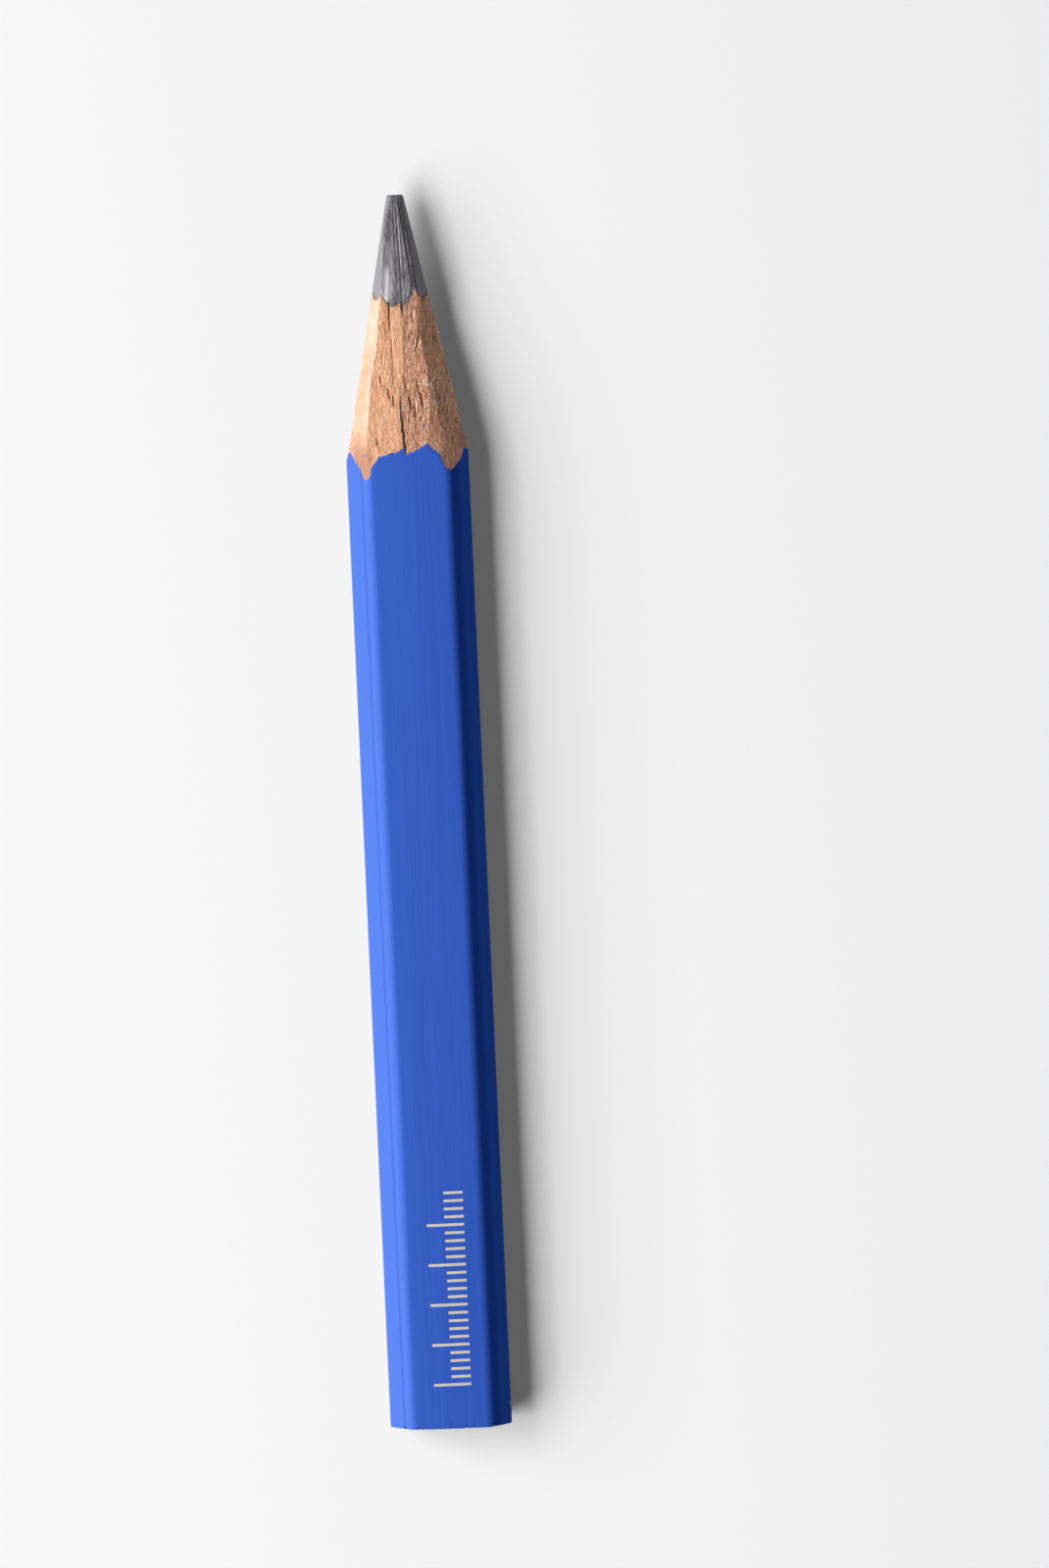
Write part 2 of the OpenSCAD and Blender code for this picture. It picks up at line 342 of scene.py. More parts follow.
def loose_fibres(x, s):
    """1 along the fibres that curl up from the chip's edges."""
    fibres = 0
    for x0, s0, x1, s1 in LOOSE_FIBRES:
        dx, ds = x1 - x0, s1 - s0
        run = np.clip(((x - x0) * dx + (s - s0) * ds) / (dx**2 + ds**2), 0, 1)
        away = np.hypot(x - x0 - run * dx, s - s0 - run * ds)
        fibres = fibres + hump(away + 0.03 * noise(x * 3, s * 3, 33), 0, FIBRE_RADIUS)
    return fibres


def lifted_chip(x, s):
    """How far the torn chip stands up: highest along its lower left edge, and gone at its upper right."""
    x_in = between(2.15, 4.5, x - 0.12 * (s - 25), 0.08)
    edge = 26.05 - 0.36 * (x - 2.6) + 0.12 * noise(x * 3, s, 31)
    s_in = ease(23.0, 25.0, s) * (1 - ease(edge - 0.12, edge, s))
    slab = CHIP_HEIGHT * x_in * s_in * (1 - 0.55 * ease(2.2, 4.6, x))
    return slab + FIBRE_HEIGHT * loose_fibres(x, s)


def torn(u, s, style, seed):
    """The depth of torn grain: ridges and gouges in patches, a slow wave, and fine fuzz."""
    depth, across, along, lean = style
    u = u - lean * s
    ridges = 1 - 1.6 * np.abs(grain(u, s, across, along, seed))
    gouges = np.clip(grain(u, s, across * 1.1, along * 0.7, seed + 40) * 3 - 0.9, 0, 0.9)
    patches = 0.6 + 0.4 * noise(u / 1.8, s / 3.5, seed + 80)
    wavy = 0.25 * depth * noise(u / 1.3, s / 2.2, seed + 70)
    fuzz = 0.03 * noise(u / 0.13, s / 0.26, seed + 90)
    return depth * patches * (0.5 * ridges + 1.3 * gouges) + wavy + fuzz


def surface_depth(name, seed, u, x, h, s):
    """How far below the clean cut one facet's surface lies."""
    lead = in_lead(x, h)
    wood_depth = torn(u, s, TORN.get(name, TORN_ELSEWHERE), seed)
    wood_depth = wood_depth * (1 - 0.6 * ease(30, 32, s)) * (0.35 + 0.65 * ease(1.0, 1.25, lead))
    lead_depth = 0.004 * grain(u, s, 0.2, 3, seed)
    if name in ("broad left", "broad right"):
        furrows = 0.022 * np.abs(grain(x * 13 / (s + 8), s, 0.3, 5, 3, 4))
        lead_depth = furrows + 0.01 * noise(u / 0.1, s / 0.25, 12)
        for at_point, at_wood, width, deep in LEAD_FURROWS:
            lead_depth = lead_depth + deep * hump(x, at_point + (at_wood - at_point) * s / 13, width)
        for middle, first, last, width, deep, lean in WOOD_GROOVES:
            path = middle + lean * (s - first) + 0.04 * noise(s * 1.7, 0 * s + middle, 9)
            wood_depth = wood_depth + deep * hump(x, path, width) * between(first, last, s, 0.35)
        wood_depth = wood_depth * (1 - 0.8 * between(-1.15, 0.3, x, 0.12) * between(12, 21, s, 1.5))
        wood_depth = wood_depth + seam_opening(x, s)
    if name in ("broad right", "upper right"):
        wood_depth = wood_depth - lifted_chip(x, s)
    glue_line = GLUE_LINE_DEPTH * between(1.0, 1.03, lead, 0.008)
    return np.where(lead < 1, lead_depth, wood_depth + glue_line)


widest = np.array([29.6])
print(f"where it is widest, the seam stands open {seam_opening(seam_x(widest), widest)[0]:.2f} mm deep")

# %% [markdown]
# ## One skin, then four pieces
#
# The lead, the slats and the lacquer were one stick when the knife went over them, so they share one skin.
# The skin is built as rings from the point to the sawn end: each outline point is pulled in along its ray
# until no facet cuts it, then pushed in by the damage. Rings are close where the knife worked and at the
# sawn end, and far apart along the plain body between.
#
# Splitting comes after. A prism with the lead's oval takes out the lead, a prism with the inside of the
# lacquer parts wood from coat, and a wall that follows the glue seam parts the two slats. Every border in
# the finished point falls out of these cuts by itself, just as it did on the bench.

# %% The skin
CLOSE_STEP, PLAIN_STEP, END_STEP = 0.13, 1.5, 0.11
CUT_ENDS, END_BEGINS = 36.5, 150.0
SAW_SKEW = 0.0087
ROUGHEST = 0.2
CROWN, LEFT_DRAWN_IN, RIGHT_DRAWN_IN = 0.22, 0.55, 0.36
GROOVE_X, GROOVE_WIDTH, GROOVE_DEPTH = -6.1, 0.17, 0.05
# Chips along the sawn end's upper edge: x, width, depth
CHIPS = [(-5.7, 0.16, 0.1), (-4.0, 0.16, 0.1), (-3.3, 0.12, 0.08), (0.05, 0.1, 0.05), (1.9, 0.16, 0.1),
         (2.8, 0.14, 0.1), (5.3, 0.24, 0.1)]


def stations():
    """How far behind the point each ring lies."""
    rounding = TIP_ROUNDING * (1 - np.cos(np.linspace(0, math.pi / 2, 7)))
    close = np.arange(TIP_ROUNDING + CLOSE_STEP, CUT_ENDS, CLOSE_STEP)
    plain = np.linspace(CUT_ENDS, END_BEGINS, int((END_BEGINS - CUT_ENDS) / PLAIN_STEP))
    end = np.linspace(END_BEGINS, LENGTH, int((LENGTH - END_BEGINS) / END_STEP) + 1)[1:]
    return np.concatenate([rounding, close, plain, end])


def crown(x):
    """How far the upper broad face falls away from its middle."""
    return CROWN * (x / BROAD_FACE) ** 2


def wandering(section, s):
    """A section at each station: a crowned top, a groove on the left, and shoulders that wander."""
    x, h = (np.broadcast_to(section[:, k], (len(s), len(section))) for k in (0, 1))
    drawn_in = np.where(x < 0, LEFT_DRAWN_IN, RIGHT_DRAWN_IN) + 0.06 * noise(s / 17, 0 * s, 21)[:, None]
    down_the_slope = np.clip((HALF_WIDTH - np.abs(x)) / (HALF_WIDTH - BROAD_FACE), 0, 1)
    drawn_in = drawn_in * ease(2.5, 4.6, np.abs(x)) * down_the_slope
    groove = GROOVE_DEPTH * hump(x, GROOVE_X, GROOVE_WIDTH) * (h > 0)
    x = x - np.sign(x) * (drawn_in + groove)
    return np.stack([x, h - crown(x) * ease(1.5, 3.6, h)], 2)


def body_loops(s):
    """The uncut body at each station, with what its sawn end has lost."""
    x, h = np.moveaxis(wandering(outline, s), 2, 0)
    dent = 0 * x
    for where, width, deep in CHIPS:
        towards_end = ease(LENGTH - 1.2 * width, LENGTH, s)[:, None] ** 2
        dent = dent + deep * hump(x, where, width) * (h > 3) * towards_end
    knocked_side = hump(s, LENGTH - 2.5, 0.28)[:, None] * hump(h, 0.5, 0.5) * (x > 7)
    saw_burr = (0.03 + 0.02 * noise(x * 2, h * 2, 8)) * ease(LENGTH - 0.25, LENGTH, s)[:, None]
    dent = dent + 0.25 * knocked_side + saw_burr
    keep = 1 - dent / np.hypot(x, h)
    return np.stack([x * keep, h * keep], 2)


def skin_points():
    """The skin's points as x and h, their s, and what is known about the cut at each of them."""
    s = stations()
    loop = body_loops(s)
    shares, angles = facet_shares(s, loop)
    first = np.argmin(shares, 0)
    share = np.minimum(np.take_along_axis(shares, first[None], 0)[0], 1)
    angle = np.take_along_axis(angles, first[None], 0)[0]
    points = loop * share[..., None]
    x, h = points[..., 0], points[..., 1]
    u = -x * np.sin(angle) + h * np.cos(angle)
    along = np.broadcast_to(s[:, None], x.shape)
    depth, roughness = np.zeros_like(x), np.zeros_like(x)
    for i, name in enumerate(FACET_NAMES):
        cut = (first == i) & (share < 1)
        depth[cut] = surface_depth(name, 100 + i, u[cut], x[cut], h[cut], along[cut])
        roughness[cut] = TORN.get(name, TORN_ELSEWHERE)[0]
    depth *= ease(0.0, 0.6, along)
    points = points - depth[..., None] * np.stack([np.cos(angle), np.sin(angle)], 2)
    points[..., 1] = np.clip(points[..., 1], -HALF_HEIGHT, HALF_HEIGHT)
    skew = SAW_SKEW * (HALF_WIDTH - points[..., 0]) * ease(END_BEGINS, LENGTH, s)[:, None]
    back = s[:, None] - skew
    return points, back, {"hollow": depth, "torn": roughness / ROUGHEST}


CAP_RINGS = (0.97, 0.9, 0.75, 0.5, 0.25)


def closed_mesh(name, rings):
    """A solid from rings of equally many points, closed by ever smaller rings and a middle point."""
    count = rings.shape[1]
    middles = rings[[0, -1]].mean(1)
    front = [middles[0] + (rings[0] - middles[0]) * k for k in CAP_RINGS[::-1]]
    rear = [middles[1] + (rings[-1] - middles[1]) * k for k in CAP_RINGS]
    rings = np.concatenate([front, rings, rear])
    i, j = np.meshgrid(np.arange(len(rings) - 1), np.arange(count), indexing="ij")
    a, b = i * count + j, i * count + (j + 1) % count
    quads = np.stack([a, b, b + count, a + count], 2).reshape(-1, 4)
    ring = np.arange(count)
    tip, butt = len(rings) * count, len(rings) * count + 1
    last = (len(rings) - 1) * count
    caps = [(tip, (k + 1) % count, k) for k in ring]
    caps += [(butt, last + k, last + (k + 1) % count) for k in ring]
    vertices = np.vstack([rings.reshape(-1, 3), middles[0], middles[1]])
    mesh = bpy.data.meshes.new(name)
    mesh.from_pydata((vertices * MM).tolist(), [], quads.tolist() + caps)
    mesh.validate()
    thing = bpy.data.objects.new(name, mesh)
    bpy.context.scene.collection.objects.link(thing)
    return thing


def rings_from(points, s):
    """Sections given as x and h, stood up along the pencil at s behind the point."""
    s = np.broadcast_to(s, points.shape[:2])
    return np.stack([points[..., 0], TIP_Y - s, AXIS_Z + points[..., 1]], 2)


points, back, measures = skin_points()
skin = closed_mesh("skin", rings_from(points, back))
for name, values in measures.items():
    padding = (len(skin.data.vertices) - 2 - values.size) // 2
    layer = skin.data.attributes.new(name, "FLOAT", "POINT")
    layer.data.foreach_set("value", np.pad(values.ravel(), (padding, padding + 2)))
print(f"the skin has {len(skin.data.vertices)} points and {len(skin.data.polygons)} faces")

# %% Cutting it up
OVERRUN = 4.0
OVAL_POINTS, CORE_RINGS = 160, 90
SEAM_SETTLES, WALL_WIDTH, WALL_HEIGHT = 42, 20, 9
LEAD_GAP = 0.02


def prism(name, section):
    """A straight bar with this section that runs past both ends of the pencil."""
    s = np.array([-OVERRUN, LENGTH + OVERRUN])
    return closed_mesh(name, rings_from(np.broadcast_to(section, (2, *section.shape)), s[:, None]))


def keep(thing, how, cutter, name):
    """A new object: thing cut by cutter."""
    result = thing.copy()
    result.data = thing.data.copy()
    result.name = result.data.name = name
    bpy.context.scene.collection.objects.link(result)
    cut = result.modifiers.new("cut", "BOOLEAN")
    cut.operation, cut.object, cut.solver = how, cutter, "MANIFOLD"
    shape = bpy.data.meshes.new_from_object(result.evaluated_get(bpy.context.evaluated_depsgraph_get()))
    result.modifiers.clear()
    result.data = shape
    return result


def lead_oval(gap):
    """The lead's section, drawn in by a gap."""
    t = np.linspace(0, 2 * math.pi, OVAL_POINTS, endpoint=False)
    c, h = np.cos(t), np.sin(t)
    return np.stack([(LEAD_HALF_WIDTH - gap) * np.sign(c) * np.abs(c) ** (2 / LEAD_POWER),
                     (LEAD_HALF_HEIGHT - gap) * np.sign(h) * np.abs(h) ** (2 / LEAD_POWER)], 1)


def seam_wall():
    """A block over everything on the right of the glue seam."""
    s = np.concatenate([[-OVERRUN], np.arange(0, SEAM_SETTLES, 0.5), [LENGTH + OVERRUN]])
    x = seam_x(s)
    far = 0 * x + WALL_WIDTH
    corners = [np.stack([edge, 0 * x + h], 1) for edge, h in
               ((far, -WALL_HEIGHT), (far, WALL_HEIGHT), (x, WALL_HEIGHT), (x, -WALL_HEIGHT))]
    return closed_mesh("seam wall", rings_from(np.stack(corners, 1), s[:, None]))


bore = prism("bore", lead_oval(0))
lead_bar = prism("lead bar", lead_oval(LEAD_GAP))
core_s = np.concatenate([[-OVERRUN], np.linspace(0, LENGTH, CORE_RINGS), [LENGTH + OVERRUN]])
inside = body_outline(LACQUER, 2 * OUTLINE_STEP)
core = closed_mesh("core", rings_from(wandering(inside, core_s), core_s[:, None]))
wall = seam_wall()
bpy.context.view_layer.update()
lead = keep(skin, "INTERSECT", lead_bar, "graphite_lead")
casing = keep(skin, "DIFFERENCE", bore, "casing")
bpy.context.view_layer.update()
wood = keep(casing, "INTERSECT", core, "wood")
coat = keep(casing, "DIFFERENCE", core, "lacquer")
bpy.context.view_layer.update()
slat_left = keep(wood, "DIFFERENCE", wall, "left_slat")
slat_right = keep(wood, "INTERSECT", wall, "right_slat")
for scrap in (skin, bore, lead_bar, core, wall, casing, wood):
    bpy.data.objects.remove(scrap, do_unlink=True)
PIECES = {"lead": lead, "slat_left": slat_left, "slat_right": slat_right, "lacquer_coat": coat}
SHARP = math.radians(50)
SLOTS = {"lead": "graphite", "slat_left": "bare_wood", "slat_right": "bare_wood", "lacquer_coat": "lacquer"}
for node, piece in PIECES.items():
    piece.data.polygons.foreach_set("use_smooth", [True] * len(piece.data.polygons))
    piece.data.set_sharp_from_angle(angle=SHARP)
    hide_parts(node)
    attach(piece, "root")
    print(f"{piece.name}: {len(piece.data.polygons)} faces")

# %% [markdown]
# ## Dust, dirt, wear and painted light
#
# Cutting graphite leaves a grey dust where the wood meets the lead and on a nib of lead at the seam. Where
# the wood is torn deepest it is painted dark, as painted shade with dirt, and in the split and along the
# open seam as painted shade with dust. Resin darkens a streak beside the split, the knife dragged a few
# specks of lacquer onto the wood, and the lacquer is painted darker round each chip. The fibres that curl
# up from the chip carry a painted highlight. The lead was scraped on its broad facets, and one patch of it
# is painted bright, as a painted sheen.
#
# All of these are painted on the points of the pieces as numbers between 0 and 1. They are worked out from
# the same values that cut the surface, so that they can't drift away from the marks they belong to.

# %% Dust, dirt, wear and painted light
# Specks of lacquer on the wood, as x and s
SPECKS = [(4.0, 22.8), (2.3, 28.2), (-5.2, 31.6)]
SPECK_RADIUS = 0.13
SPLIT_X, NIB_X, NIB_S = -1.4, 0.12, 13.5
SCRATCH_X, SCRATCH_WIDTH = 0.05, 0.13
# Where the painted sheen on the lead lies across it, and how wide it is
PAINTED_SHEEN_X, PAINTED_SHEEN_WIDTH = -1.6, 0.4


def places(piece):
    """Where the piece's points lie, as x, s and h."""
    flat = np.empty(3 * len(piece.data.vertices))
    piece.data.vertices.foreach_get("co", flat)
    x, y, z = flat.reshape(-1, 3).T / MM
    return x, TIP_Y - y, z - AXIS_Z


def paint(piece, recipe):
    """Works out a recipe on the piece's points, and keeps the result there under the recipe's name."""
    values = np.clip(recipe(*places(piece)), 0, 1).astype(float)
    layer = piece.data.attributes.new(recipe.__name__, "FLOAT", "POINT")
    layer.data.foreach_set("value", values)
    print(f"{piece.name}: {recipe.__name__} on {(values > 0.3).sum()} of its points")


def dust_and_shade(x, s, h):
    """Graphite dust round the lead and on the nib of lead at the seam, with painted shade and dust in the
    split and along the open seam.
    """
    wander = 0.5 + 0.5 * noise(x / 0.5, s / 0.8, 61)
    lead = in_lead(x, h)
    rim = 0.85 * hump(lead, 1, 0.022) + 0.35 * wander * (1 - ease(1.0, 1.16, lead))
    # painted shade with dust: a dark line in the split
    split = 0.4 * hump(x, SPLIT_X, 0.07) * between(12.5, 16.4, s, 0.3)
    split = split + 0.9 * hump(x, NIB_X, 0.09) * between(13, 14.8, s, 0.3)
    nib = np.clip(1 - np.hypot((x - 0.1) / 0.28, (s - NIB_S) / 0.9), 0, 1)
    # painted shade with dust: a dark line along the open seam
    opening = 0.5 * hump(x, seam_x(s), 0.13) * between(25, 32.1, s, 0.5)
    haze = 0.3 * wander * hump(x, seam_x(s), 0.45) * between(24.6, 31.5, s, 1.2)
    rim_at_end = 0.5 * hump(lead, 1, 0.03)
    return np.where(s > LENGTH - 1, rim_at_end, rim + np.where(h > 0, split + nib + opening + haze, 0))


def specks(x, s, h):
    """Small round marks of lacquer on the upper side."""
    return sum(1.3 * hump(np.hypot(x - x0, s - s0), 0, SPECK_RADIUS) for x0, s0 in SPECKS) * (h > 0)


def resin(x, s, h):
    """A darker, resinous streak beside the split."""
    upper = 0.8 * hump(x + 0.12 * (s - 13), -1.62, 0.38) * between(12.4, 17.5, s, 1.3)
    return (upper + 0.45 * hump(x, -1.35, 0.3) * between(18, 24, s, 1.5)) * (h > 0)


def painted_fibre_highlight(x, s, h):
    """A painted highlight along the fibres that curl up from the chip."""
    return 1.2 * loose_fibres(x, s) * (h > 0)


def scraped(x, s, h):
    """The lead's broad facets, up to where the next facets begin."""
    broad = [(k[0], k[2]) for k in BROAD_FACETS["broad left"]]
    return ease(-0.3, -0.14, np.abs(h) - curve(broad, s))


def painted_sheen(x, s, h):
    """A painted sheen: the polished patch on the left of the lead's broad facet, painted a bright grey."""
    streaky = 0.75 + 0.35 * noise(x / 0.12, s / 2.5, 71)
    middle = PAINTED_SHEEN_X - 0.04 * (s - 11)
    return streaky * hump(x, middle, PAINTED_SHEEN_WIDTH) * between(9.2, 13.3, s, 1.1) * (h > 0)


def darker_round_chips(x, s, h):
    """The lacquer round each chip, and along one scratch that runs up from the sawn end."""
    ahead = LENGTH - SAW_SKEW * (HALF_WIDTH - x) - s
    chips = sum(hump(x, at, width) * (1 - ease(width, 3.2 * width, ahead)) for at, width, _ in CHIPS)
    scratch = 0.4 * hump(x, SCRATCH_X, SCRATCH_WIDTH) * (1 - ease(0.7, 1.3, ahead))
    return (chips + scratch) * (h > 2.5)


for slat in (slat_left, slat_right):
    for recipe in (dust_and_shade, specks, resin, painted_fibre_highlight):
        paint(slat, recipe)
for recipe in (scraped, painted_sheen):
    paint(lead, recipe)
paint(coat, darker_round_chips)

# %% [markdown]
# ## A shorthand for shaders
#
# Node graphs read badly as code when every sum takes three lines. So one small class wraps a socket and
# lets values be added and multiplied like numbers. Colours don't go through it, because a Math node would
# turn them grey, so they are blended with Mix nodes. A second class is a material under construction: it
# makes the nodes, and it knows where on the pencil it is, as x, s and h in millimetres.

# %% A shorthand for shaders
class Signal:
    """A value in a material's node graph that can be used in sums."""

    def __init__(self, finish, socket):
        self.finish, self.socket = finish, socket

    def _sum(self, operation, *values):
        return self.finish.node("ShaderNodeMath", {"operation": operation}, *values)

    def __add__(self, other):
        return self._sum("ADD", self, other)

    def __mul__(self, other):
        return self._sum("MULTIPLY", self, other)

    def __sub__(self, other):
        return self._sum("SUBTRACT", self, other)

    def __rsub__(self, other):
        return self._sum("SUBTRACT", other, self)

    __radd__, __rmul__ = __add__, __mul__

    def above(self, low, high):
        """0 below low, 1 above high. With high under low it is the other way round."""
        smooth = {"interpolation_type": "SMOOTHSTEP"}
        return self.finish.node("ShaderNodeMapRange", smooth, self, low, high, 0.0, 1.0)


class Finish:
    """A material under construction."""

    def __init__(self, name):
        self.material = bpy.data.materials.new(name)
        self.material.use_nodes = True
        self.nodes = self.material.node_tree.nodes
        self.links = self.material.node_tree.links
        self.nodes.clear()
        self.mm = self.node("ShaderNodeVectorMath", {"operation": "SCALE"},
                            self.node("ShaderNodeTexCoord", {}, out="Object"), Scale=1 / MM)
        self.x, y, z = (self.node("ShaderNodeSeparateXYZ", {}, self.mm, out=axis) for axis in "XYZ")
        self.s, self.h = TIP_Y - y, z - AXIS_Z

    def node(self, kind, settings, *values, out=0, inputs=None, **named):
        """Adds a node, sets it up, feeds it, and gives back one of its outputs, if it has any."""
        node = self.nodes.new(kind)
        for key, value in settings.items():
            setattr(node, key, value)
        feeds = dict(zip(inputs or range(len(values)), values))
        feeds |= {key.replace("_", " "): value for key, value in named.items()}
        for key, value in feeds.items():
            if isinstance(value, Signal):
                self.links.new(value.socket, node.inputs[key])
            else:
                node.inputs[key].default_value = value
        return Signal(self, node.outputs[out]) if node.outputs else None

    def fibres(self, across, along, detail=3.0, offset=0.0, rough=0.55):
        """Noise so many mm wide and so many mm long."""
        stretched = self.node("ShaderNodeVectorMath", {"operation": "MULTIPLY_ADD"}, self.mm,
                              (1 / across, 1 / along, 1 / across), (offset, offset, offset))
        return self.node("ShaderNodeTexNoise", {}, Vector=stretched, Scale=1.0,
                         Detail=detail, Roughness=rough)

    def blend(self, amount, first, second):
        """One colour that turns into another as the amount goes from 0 to 1."""
        colours = [(*colour, 1) if isinstance(colour, tuple) else colour for colour in (first, second)]
        return self.node("ShaderNodeMix", {"data_type": "RGBA"}, amount, *colours, inputs=(0, 6, 7), out=2)

    def painted(self, name):
        return self.node("ShaderNodeAttribute", {"attribute_name": name}, out="Fac")

    def bump(self, height, depth):
        """A normal from a height between 0 and 1, standing for this many mm."""
        return self.node("ShaderNodeBump", {}, Strength=1.0, Distance=depth * MM, Height=height)

    def surface(self, dull=None, **inputs):
        """The material itself. Where dull is 1 it has no reflection at all."""
        shader = self.node("ShaderNodeBsdfPrincipled", {}, **inputs)
        if dull is not None:
            matt = self.node("ShaderNodeBsdfPrincipled", {}, **inputs | {"Specular_IOR_Level": 0.0})
            shader = self.node("ShaderNodeMixShader", {}, dull, shader, matt)
        self.node("ShaderNodeOutputMaterial", {}, shader)
        return self.material


print("ready to mix finishes")

# %% [markdown]
# ## The finishes
#
# Graphite is dark and slightly metallic. Its broad facet carries painted glints, bright streaks for the
# furrows that catch the light, its deepest furrows are painted black as painted shade, and one patch on its
# left is painted bright as a painted sheen.
#
# The wood is a reddish cedar. Its colour comes in three sizes: wide bands from the growth rings, thin
# fibres, and short dark pores. Torn hollows are painted darker than the light alone makes them, as painted
# shade with dirt. The smooth facet that faces the lights is painted paler, partly painted sheen, and the
# torn facets turned away a deeper orange, partly painted shade. Beside the lacquer the wood is painted
# darker on both sides, as painted shade.
#
# The lacquer is a semi-gloss blue, thin enough for the grain below to telegraph through as fine lengthwise
# lines. Its left slope is painted paler, as painted sheen where it faces the lights, and its right slope is
# painted deeper, with a band of painted shade below the shoulder; the right slope is also duller. A line of
# painted shade marks the fine groove on the left. The sawn end has lost its gloss.

# %% Graphite
def graphite():
    f = Finish("graphite")
    hollow, scraped, painted_sheen = f.painted("hollow"), f.painted("scraped"), f.painted("painted_sheen")
    streak = f.fibres(0.09, 2.2, 4.0)
    patch = f.fibres(0.7, 5.0, 2.0, 4.0)
    # painted glints: streaks of brighter graphite colour, standing for furrows that catch the light
    painted_glint = (streak * 0.7 + patch * 0.3).above(0.38, 0.64)
    furrowed = f.blend(painted_glint, (0.055, 0.052, 0.058), (0.26, 0.252, 0.268))
    # painted sheen: the polished patch is painted a bright grey
    furrowed = f.blend(painted_sheen, furrowed, (0.6, 0.59, 0.61))
    sliced = f.blend(patch.above(0.3, 0.7), (0.235, 0.226, 0.248), (0.275, 0.265, 0.29))
    bright = f.blend(scraped, sliced, furrowed)
    # painted shade: the deepest furrows are painted near black
    colour = f.blend(hollow.above(0.03, 0.11) * 0.85, bright, (0.026, 0.024, 0.028))
    return f.surface(Base_Color=colour, Metallic=0.2, Roughness=0.48 - painted_glint * 0.1,
                     Normal=f.bump(f.fibres(0.07, 1.4, 3.0, 9.0) * scraped, 0.03))


# %% Bare wood
def bare_wood():
    f = Finish("bare_wood")
    hollow, dust_and_shade_mask, torn = f.painted("hollow"), f.painted("dust_and_shade"), f.painted("torn")
    rings = f.fibres(1.5, 26.0, 2.0, 3.0)
    fibres = f.fibres(0.13, 2.6, 4.0, 7.0)
    pores = f.fibres(0.12, 0.6, 3.0, 11.0, 0.7)
    # partly the wood's own look, partly painted light: the smooth facet facing the lights is painted paler,
    # and the torn facets turned away a deeper, darker orange
    tone = f.blend(torn.above(0.1, 0.5), (0.88, 0.6, 0.47), (0.91, 0.45, 0.24))
    tone = f.blend(torn.above(0.5, 0.95), tone, (0.7, 0.3, 0.18))
    tone = f.blend(rings.above(0.4, 0.65) * 0.4, tone, (0.62, 0.31, 0.16))
    tone = f.blend(fibres.above(0.48, 0.62) * (0.22 + torn * 0.5), tone, (0.4, 0.17, 0.08))
    tone = f.blend(fibres.above(0.5, 0.38) * (0.32 + torn * 0.5), tone, (0.98, 0.67, 0.48))
    tone = f.blend(f.painted("resin"), tone, (0.62, 0.27, 0.11))
    tone = f.blend(pores.above(0.54, 0.64) * (0.2 + torn * 0.75), tone, (0.24, 0.1, 0.052))
    # painted shade with dirt: torn hollows are painted darker, near black in the deepest
    tone = f.blend(hollow.above(0.06, 0.24) * 0.6, tone, (0.33, 0.14, 0.07))
    tone = f.blend(hollow.above(0.25, 0.5) * 0.75, tone, (0.09, 0.04, 0.026))
    tone = f.blend(dust_and_shade_mask, tone, (0.035, 0.028, 0.03))
    # painted highlight: the curled-up fibres are painted pale
    tone = f.blend(f.painted("painted_fibre_highlight") * 0.8, tone, (0.95, 0.76, 0.6))
    # painted shade: the wood beside the lacquer on the left is painted a deeper, darker orange
    painted_shade_left = f.x.above(-3.8, -4.8) * f.x.above(-7.5, -6.3) * f.s.above(27.5, 32.5)
    tone = f.blend(painted_shade_left * (0.7 + fibres * 0.4), tone, (0.42, 0.175, 0.09))
    # painted shade: the wood towards the lacquer on the right is painted darker
    tone = f.blend(f.x.above(3.6, 4.8) * f.s.above(25, 31) * 0.5, tone, (0.36, 0.15, 0.1))
    tone = f.blend(f.painted("specks"), tone, (0.05, 0.12, 0.5))
    texture = (fibres * 0.4 + pores * -0.6) * (0.35 + torn)
    return f.surface(Base_Color=tone, Roughness=0.72, Normal=f.bump(texture, 0.24))


